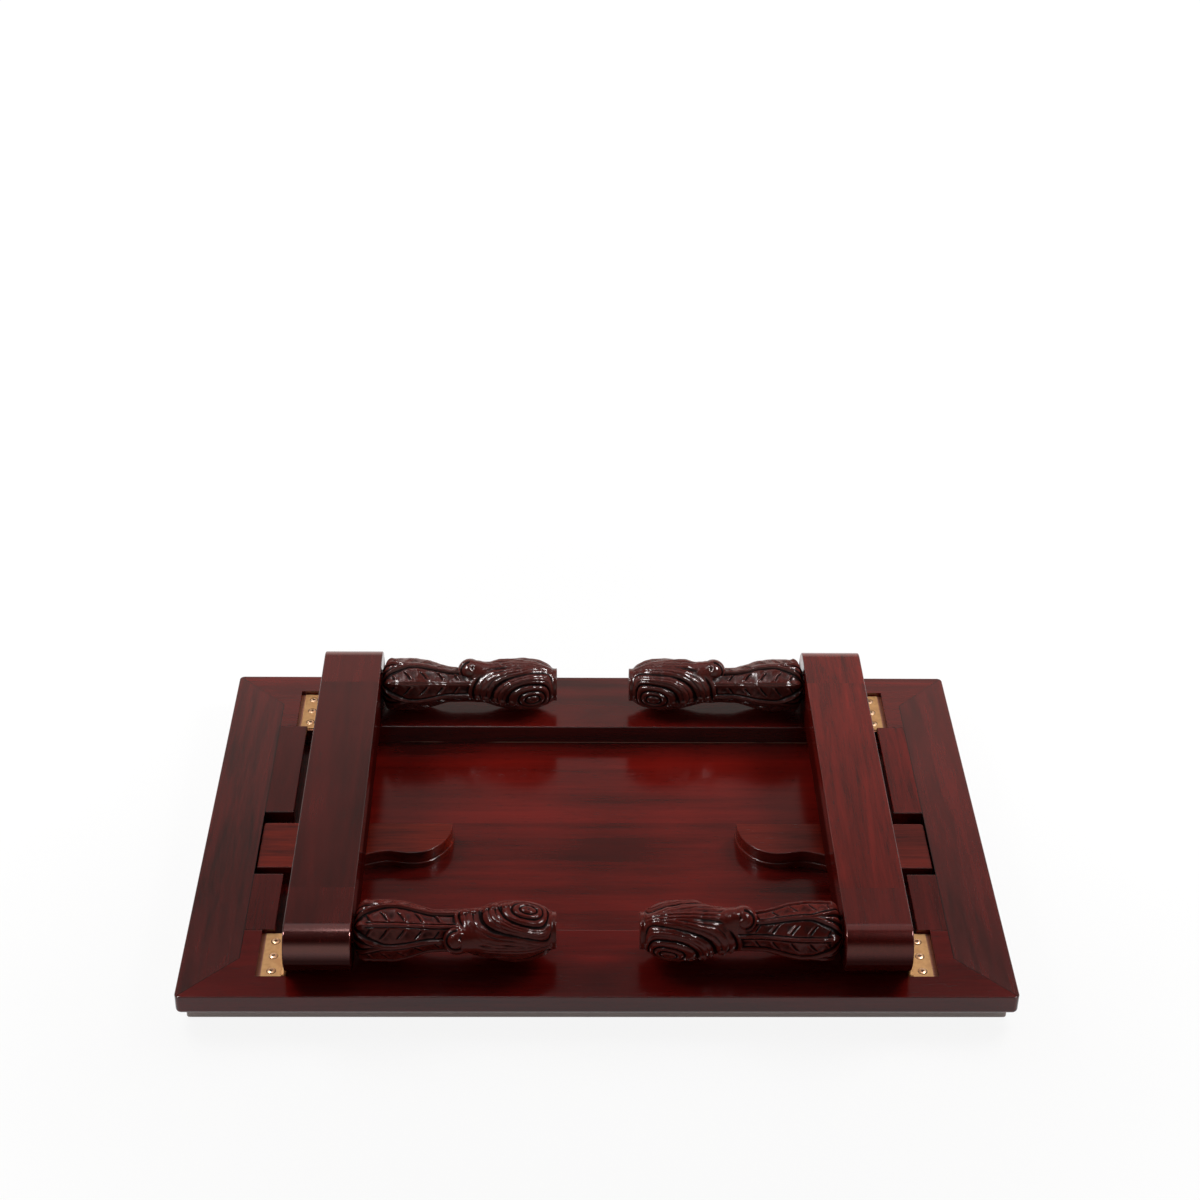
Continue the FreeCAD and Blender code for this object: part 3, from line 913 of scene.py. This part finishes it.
    def shape(self, piece: bpy.types.Object, points: Array, depth: Array, merge: bool) -> None:
        """Move a mesh's points, note the painted shade of each one, and turn its faces outwards.

        Args:
            piece: the object.
            points: the new place of each point, in metres.
            depth: its painted shade, from 0 on a ridge to 1 in a groove.
            merge: whether points that meet become one.
        """
        mesh = piece.data
        mesh.vertices.foreach_set("co", points.astype(np.float32).ravel())
        values = mesh.attributes.new(self.DEPTH, "FLOAT", "POINT").data
        values.foreach_set("value", depth.astype(np.float32))
        only_selected(piece)
        bpy.ops.object.mode_set(mode="EDIT")
        bpy.ops.mesh.select_all(action="SELECT")
        if merge:
            bpy.ops.mesh.remove_doubles(threshold=self.MERGE)
        bpy.ops.mesh.normals_make_consistent(inside=False)
        bpy.ops.object.mode_set(mode="OBJECT")

    def carve(self) -> bpy.types.Object:
        """Roll a fine sheet into the turned outline and carve it.

        Returns:
            The carved shank with its closed ends.
        """
        bpy.ops.object.select_all(action="DESELECT")
        bpy.ops.mesh.primitive_grid_add(
            x_subdivisions=self.rows, y_subdivisions=self.columns, size=1.0)
        shank = bpy.context.object
        flat = points_of(shank.data)
        part = flat[:, 0] + 0.5
        around = (flat[:, 1] + 0.5) * 360.0 - 180.0
        body_end = self.outline[-1][0]
        along = np.clip((part - self.cap_share) / self.body_share, 0.0, 1.0) * body_end
        radius = self.turned_radius(along)
        height = self.relief(along, around, radius)
        radius = np.minimum(radius + height, self.largest_radius)
        row = 1.0 / self.rows
        radius = np.where(part < 0.5 * row, 0.0, radius)
        foot = part > self.foot_from + 0.5 * row
        foot_length = self.length - body_end - self.foot_step
        down_foot = (part - self.foot_from) / self.foot_share * foot_length
        along = np.where(foot, body_end + self.foot_step + down_foot, along)
        radius = np.where(foot, self.foot_radius, radius)
        along = np.where(part > 1.0 - 1.5 * row, self.length, along)
        radius = np.where(part > 1.0 - 0.5 * row, 0.0, radius)
        # painted shade: darker where a point lies below the carving round it
        depth = self.shade
        for reach, weight in self.cut_shades:
            depth = depth + weight * self.cavity(height, reach)
        points = self.place(along, radius, around)
        self.shape(shank, points, np.clip(depth, 0.0, 1.0), merge=True)
        return shank

    def curl(self) -> bpy.types.Object:
        """The rolled leaf tip, a ball with a spiral cut and a tail that sinks into the neck.

        Returns:
            The curl as an object of its own.
        """
        bpy.ops.object.select_all(action="DESELECT")
        bpy.ops.mesh.primitive_uv_sphere_add(
            segments=self.curl_segments, ring_count=self.curl_rings, radius=1.0)
        ball = bpy.context.object
        unit = points_of(ball.data)
        tail = np.maximum(unit[:, 0], 0.0)
        along = self.cut.curl_at + self.curl_radius * (unit[:, 0] + self.curl_tail * tail)
        lean = radians(self.volute - self.cut.turn - self.cut.curl_lean)
        facing = cos(lean) * unit[:, 2] + sin(lean) * unit[:, 1]
        beside = cos(lean) * unit[:, 1] - sin(lean) * unit[:, 2]
        turned = np.mod(np.arctan2(beside, unit[:, 0]) / (2.0 * pi) + 0.25, 1.0)
        from_eye = np.hypot(unit[:, 0], beside)
        from_cut = from_eye - self.spiral_from - self.spiral_growth * turned
        groove = bell(from_cut, 0.15 - 0.07 * turned) * smoothstep(0.0, 0.12, turned)
        groove = groove * smoothstep(0.0, 0.3, facing)
        size = self.curl_radius * (1.0 - self.curl_cut * groove)
        across = size * unit[:, 1]
        out = self.curl_from_axis + size * unit[:, 2] - self.curl_drop * tail ** 2
        around = np.degrees(np.arctan2(across, out)) + self.cut.curl_lean
        # painted shade: the ball is darkened on its underside and in its spiral cut
        depth = np.maximum(smoothstep(0.05, -0.35, unit[:, 2] + 0.4 * tail), groove)
        self.shape(ball, self.place(along, np.hypot(across, out), around), depth, merge=False)
        return ball

    def build(self, finish: CarvedWood) -> bpy.types.Object:
        """Make the leg, dress it and set it in the frame.

        Args:
            finish: the leg's finish.

        Returns:
            The finished leg.
        """
        leg = self.carve()
        ball = self.curl()
        only_selected(leg)
        ball.select_set(True)
        bpy.ops.object.join()
        only_selected(leg)
        bpy.ops.object.shade_smooth()
        leg.name = f"carved_{self.name}"
        leg.data.materials.clear()
        leg.data.materials.append(finish.material())
        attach(leg, f"{self.side.word}_legs")
        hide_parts(self.name)
        log.info("carved %s with %d faces", leg.name, len(leg.data.polygons))
        return leg


@dataclass
class LegFrame:
    """One apron with its end blocks and two carved legs."""

    side: Side
    cuts: dict[End, LegCut]
    dark: Colour
    light: Colour
    front_light: Colour
    figure: float
    nose_ior: float

    APRON_SEED, LEG_SEED = 3.0, 5.0
    BLOCK_FIGURE = 0.4
    # the colour of the painted shade in the cuts
    HOLLOW = (0.008, 0.0004, 0.0003)
    # A ridge's stain, and how strongly it shines; the back legs' greyer ridge colour is painted
    # sheen on the same stain.
    STAINS = {End.FRONT: ((0.102, 0.0118, 0.0086), 0.11),
              End.BACK: ((0.086, 0.0165, 0.0130), 0.22)}

    def build(self, nodes: Nodes) -> None:
        """Dress the apron and its blocks, and carve the legs.

        Args:
            nodes: the frame's pieces by name.
        """
        word = self.side.word
        seed = self.APRON_SEED + self.side.value
        apron = LacqueredWood(
            f"{word}_apron_finish", self.dark, self.light, Grain.ALONG_Y, seed, self.figure,
            marks=Mark.PAINTED_SHADE_FOOT, streak=0.36)
        dress(nodes, f"{word}_apron_rail", apron.material())
        for end in End:
            name = f"{word}_{end.word}"
            step = seed + self.LEG_SEED + end.value
            light = self.front_light if end is End.FRONT else self.light
            block = LacqueredWood(
                f"{name}_block_finish", self.dark, light, Grain.ALONG_Y, step,
                self.figure + self.BLOCK_FIGURE, marks=Mark.PAINTED_SHADE_FOOT, nose_ior=self.nose_ior)
            dress(nodes, f"{name}_block", block.material())
            ridge, shine = self.STAINS[end]
            stain = CarvedWood(f"{name}_leg_finish", ridge, self.HOLLOW, step, shine)
            CarvedLeg(self.side, end, self.cuts[end], int(step)).build(stain)


@dataclass
class Underframe:
    """The top board, the mitred rails, the bearing strips and the tongues that lie between them."""

    board: LacqueredWood = LacqueredWood(
        "board_finish", (0.036, 0.0014, 0.0009), (0.195, 0.0080, 0.0050), Grain.ALONG_X,
        seed=0.4, figure=0.35, gloss=0.15, marks=Mark.PLANK, streak=0.26)
    rail_dark: Colour = (0.026, 0.0011, 0.0008)
    front_dark: Colour = (0.050, 0.0012, 0.0009)
    tongue_dark: Colour = (0.026, 0.0016, 0.0010)
    rail_lights: dict[End | Side, Colour] = field(default_factory=lambda: {
        End.FRONT: (0.135, 0.0044, 0.0030),
        End.BACK: (0.132, 0.0060, 0.0040),
        Side.LEFT: (0.118, 0.0056, 0.0042),
        Side.RIGHT: (0.110, 0.0056, 0.0042)})
    strip_lights: dict[tuple[Side, End], Colour] = field(default_factory=lambda: {
        (Side.LEFT, End.FRONT): (0.115, 0.0050, 0.0035),
        (Side.LEFT, End.BACK): (0.075, 0.0040, 0.0030),
        (Side.RIGHT, End.FRONT): (0.120, 0.0056, 0.0040),
        (Side.RIGHT, End.BACK): (0.210, 0.0095, 0.0060)})
    tongue_lights: dict[Side, Colour] = field(default_factory=lambda: {
        Side.LEFT: (0.230, 0.0150, 0.0050),
        Side.RIGHT: (0.175, 0.0115, 0.0055)})

    LONG_SEED, CROSS_SEED, TONGUE_SEED, STRIP_SEED = 11.0, 15.0, 4.0, 8.0

    def dress(self, nodes: Nodes) -> None:
        """Give every wooden piece of the top and both tongues a grain of their own.

        Args:
            nodes: the frame's pieces by name.
        """
        dress(nodes, "top_board", self.board.material())
        self._dress_long_rails(nodes)
        for side in Side:
            self._dress_across(nodes, side)

    def _dress_long_rails(self, nodes: Nodes) -> None:
        """Dress the front rail and the back rail.

        Args:
            nodes: the frame's pieces by name.
        """
        looks = {End.FRONT: (self.front_dark, Mark.POCKET | Mark.JOINT, 1.45),
                 End.BACK: (self.rail_dark, Mark.POCKET | Mark.JOINT | Mark.FOOT_LINE, 1.58)}
        for end, (dark, marks, ior) in looks.items():
            rail = LacqueredWood(
                f"{end.word}_rail_finish", dark, self.rail_lights[end], Grain.ALONG_X,
                self.LONG_SEED + end.value, marks=marks, ior=ior)
            dress(nodes, f"{end.word}_rail", rail.material())

    def _dress_across(self, nodes: Nodes, side: Side) -> None:
        """Dress one side rail with its tongue and its two bearing strips.

        Args:
            nodes: the frame's pieces by name.
            side: which of the two.
        """
        seed = self.CROSS_SEED + side.value
        rail = LacqueredWood(
            f"{side.word}_rail_finish", self.rail_dark, self.rail_lights[side], Grain.ALONG_Y,
            seed, marks=Mark.JOINT, streak=0.7, ior=1.64)
        dress(nodes, f"{side.word}_rail", rail.material())
        tongue = LacqueredWood(
            f"{side.word}_tongue_finish", self.tongue_dark, self.tongue_lights[side],
            Grain.ALONG_X, seed + self.TONGUE_SEED, figure=2.4, gloss=0.22, ior=1.37)
        dress(nodes, f"{side.word}_lock_tongue", tongue.material())
        for end in End:
            name = f"{side.word}_{end.word}_strip"
            strip = LacqueredWood(
                f"{name}_finish", self.rail_dark, self.strip_lights[side, end], Grain.ALONG_Y,
                seed + self.STRIP_SEED + end.value, figure=1.2, marks=Mark.JOINT)
            dress(nodes, name, strip.material())


@dataclass
class Fittings:
    """Hinges and their screws, the tongues' guide screws and washers, and the hidden joinery."""

    leaf: WornMetal = WornMetal(
        "hinge_brass", (0.54, 0.30, 0.122), (0.44, 0.225, 0.09),
        gloss=0.38, bare=0.5, dirt=(0.0041, 0.0052))
    screw: WornMetal = WornMetal(
        "screw_brass", (0.80, 0.52, 0.33), (0.62, 0.36, 0.20),
        gloss=0.26, bare=0.6, dirt=(-1.0, 0.0019))
    guide: WornMetal = WornMetal("guide_steel", (0.55, 0.55, 0.53), (0.35, 0.34, 0.33), gloss=0.3)
    slip: LacqueredWood = LacqueredWood(
        "slip_finish", (0.30, 0.15, 0.09), (0.50, 0.30, 0.20), Grain.ALONG_Y,
        seed=1.0, figure=0.4, gloss=0.5)

    def dress(self, nodes: Nodes) -> None:
        """Give the metal pieces, the loose tenons and the splines their finishes.

        Args:
            nodes: the frame's pieces by name.
        """
        leaf = self.leaf.material()
        screw = self.screw.material()
        guide = self.guide.material()
        slip = self.slip.material()
        for side in Side:
            for end in End:
                for kind in ("fixed_leaf", "moving_leaf", "hinge_pin"):
                    dress(nodes, f"{side.word}_{end.word}_{kind}", leaf)
            dress(nodes, f"{side.word}_leaf_screws", screw)
            dress(nodes, f"{side.word}_loose_tenons", slip)
        dress(nodes, "fixed_leaf_screws", screw)
        dress(nodes, "mitre_splines", slip)
        for name in ("guide_screws", "guide_washers"):
            dress(nodes, name, guide)


@dataclass(frozen=True)
class Softbox:
    """A soft light that faces the middle of the table; a brightness of 1 looks white."""

    name: str
    at: Point
    size: tuple[float, float]
    brightness: float

    def hang(self) -> bpy.types.Object:
        """Make the light.

        Returns:
            The light's object.
        """
        lamp = bpy.data.lights.new(self.name, "AREA")
        lamp.shape = "RECTANGLE"
        lamp.size, lamp.size_y = self.size
        lamp.energy = self.brightness * pi * self.size[0] * self.size[1]
        holder = bpy.data.objects.new(self.name, lamp)
        holder.location = self.at
        holder.rotation_euler = (-Vector(self.at)).to_track_quat("-Z", "Y").to_euler()
        holder.visible_camera = False
        bpy.context.scene.collection.objects.link(holder)
        return holder


@dataclass
class Studio:
    """Pale floor, soft light and the camera at the photograph's angle."""

    eye: Point = (-0.0484, -2.1111, 1.6947)
    yaw: float = radians(1.360)
    pitch: float = radians(32.539)
    roll: float = radians(0.953)
    lens: float = 68.295
    sensor: float = 36.0
    floor_size: float = 60.0
    floor_z: float = -0.0004
    floor_grey: Colour = (0.60, 0.60, 0.60)
    floor_white: float = 1.04
    sky_tint: Colour = (1.0, 0.97, 0.90)
    sky_levels: Sequence[tuple[float, float]] = (
        (0.40, 1.0), (0.47, 0.75), (0.56, 0.43), (0.61, 0.25), (0.68, 0.09), (0.75, 0.01))
    back_box: Softbox = Softbox("back_softbox", (0.0, 1.10, 2.75), (3.0, 1.7), 0.9)
    top_box: Softbox = Softbox("top_softbox", (-0.25, 0.10, 2.60), (0.45, 0.45), 9.0)
    lamp_at: Point = (1.0, 0.55, 0.85)
    lamp_size: tuple[float, float] = (0.6, 0.6)
    lamp_light: dict[Side, float] = field(
        default_factory=lambda: {Side.LEFT: 10.0, Side.RIGHT: 12.0})
    side_at: Point = (1.5, -0.4, 2.2)
    side_size: tuple[float, float] = (0.5, 0.5)
    side_light: float = 120.0

    def camera(self) -> None:
        """Set up the camera."""
        ahead = Vector((sin(self.yaw) * cos(self.pitch), cos(self.yaw) * cos(self.pitch),
                        -sin(self.pitch)))
        level = Vector((cos(self.yaw), -sin(self.yaw), 0.0))
        above = level.cross(ahead)
        right = level * cos(self.roll) + above * sin(self.roll)
        up = above * cos(self.roll) - level * sin(self.roll)
        lens = bpy.data.cameras.new("camera")
        lens.lens = self.lens
        lens.sensor_width = self.sensor
        holder = bpy.data.objects.new("camera", lens)
        turn = Matrix((right, up, -ahead)).transposed()
        holder.matrix_world = Matrix.Translation(self.eye) @ turn.to_4x4()
        bpy.context.scene.collection.objects.link(holder)
        bpy.context.scene.camera = holder

    def floor(self) -> None:
        """Lay the pale floor, white to the eye and still shaded under the table."""
        bpy.ops.object.select_all(action="DESELECT")
        bpy.ops.mesh.primitive_plane_add(size=self.floor_size, location=(0.0, 0.0, self.floor_z))
        plane = bpy.context.object
        plane.name = "floor"
        made = bpy.data.materials.new("floor_finish")
        tree = Tree(made)
        x, y, _ = tree.axes(tree.place())
        far = (x * x + y * y).math("SQRT").ramp(0.5, 1.3)
        glow = {"Color": (*WHITE, 1.0), "Strength": self.floor_white}
        white = tree.node("ShaderNodeEmission", None, glow)
        shown = self._seen(tree) * (far * 0.14 + 0.86)
        tree.surface(tree.mixed(shown, tree.diffuse(self.floor_grey), white))
        plane.data.materials.append(made)

    @staticmethod
    def _seen(tree: Tree) -> Wire:
        """One for rays from the eye and for those that gloss and glass send on.

        Args:
            tree: the node tree.

        Returns:
            The mask.
        """
        path = tree.node("ShaderNodeLightPath").socket.node.outputs
        eye, gloss, glass = (Wire(tree, path[f"Is {kind} Ray"])
                             for kind in ("Camera", "Glossy", "Transmission"))
        return eye.either(gloss).either(glass)

    def world(self) -> None:
        """White for the eye, and for gloss and fill a sky that dims from the horizon upwards."""
        made = bpy.data.worlds.new("studio")
        bpy.context.scene.world = made
        tree = Tree(made)
        to_eye = tree.node("ShaderNodeLightPath", output="Is Camera Ray")
        toward = tree.node("ShaderNodeTexCoord", output="Generated")
        side, depth, height = tree.axes(toward)
        stops = [(place, tuple(level * part for part in self.sky_tint))
                 for place, level in self.sky_levels]
        sky = tree.node("ShaderNodeValToRGB", {"stops": stops}, {0: height})
        fill = tree.blend(1.0, sky, depth.ramp(-0.6, 0.4) * 1.05 + 0.32, "MULTIPLY")
        gloss = tree.blend(abs(side).ramp(0.25, 0.75) * 0.85, sky, BLACK)
        gloss = tree.blend(to_eye, gloss, WHITE)
        colour = tree.blend(self._seen(tree), fill, gloss)
        light = tree.node("ShaderNodeBackground", None, {"Color": colour, "Strength": 1.0})
        tree.node("ShaderNodeOutputWorld", None, {"Surface": light})

    def light(self) -> None:
        """Hang the large softbox, two lamps hidden from gloss and three that only gloss shows."""
        self.back_box.hang()
        self.top_box.hang().visible_diffuse = False
        for side in Side:
            at = (self.lamp_at[0] * side.value, *self.lamp_at[1:])
            lamp = Softbox(f"{side.word}_back_lamp", at, self.lamp_size, self.lamp_light[side])
            lamp.hang().visible_glossy = False
            at = (self.side_at[0] * side.value, *self.side_at[1:])
            box = Softbox(f"{side.word}_softbox", at, self.side_size, self.side_light)
            box.hang().visible_diffuse = False

    def build(self) -> None:
        """Set up the whole studio."""
        self.camera()
        self.floor()
        self.world()
        self.light()
        bpy.context.scene.view_settings.view_transform = "Standard"


def leg_frames() -> tuple[LegFrame, LegFrame]:
    """The two leg frames, with each leg cut in its own way.

    Returns:
        The left one and the right one.
    """
    left = {
        End.FRONT: LegCut(turn=94.0, curl_lean=-11.0, leaf_lean=-10.0, rib=2.4, curl_at=112.0),
        End.BACK: LegCut(turn=4.0, curl_lean=-12.0, leaf_lean=5.0, rib=0.0, curl_at=110.0)}
    right = {
        End.FRONT: LegCut(turn=18.0, curl_lean=-8.0, leaf_lean=5.0, rib=2.9, curl_at=107.5),
        End.BACK: LegCut(turn=4.0, curl_lean=-12.0, leaf_lean=5.0, rib=0.0, curl_at=113.0)}
    brown, red = (0.080, 0.0044, 0.0032), (0.095, 0.0050, 0.0034)
    bright = (0.165, 0.0084, 0.0050)
    return (
        LegFrame(Side.LEFT, left, (0.022, 0.0011, 0.0008), brown, brown,
                 figure=0.4, nose_ior=1.80),
        LegFrame(Side.RIGHT, right, (0.030, 0.0015, 0.0010), bright, red,
                 figure=2.8, nose_ior=1.58))


def main() -> None:
    """Load the frame, build and dress each part of the table, and set up the studio."""
    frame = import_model()
    nodes = frame["nodes"]
    Underframe().dress(nodes)
    Fittings().dress(nodes)
    for legs in leg_frames():
        legs.build(nodes)
    Studio().build()


if __name__ == "__main__":
    main()
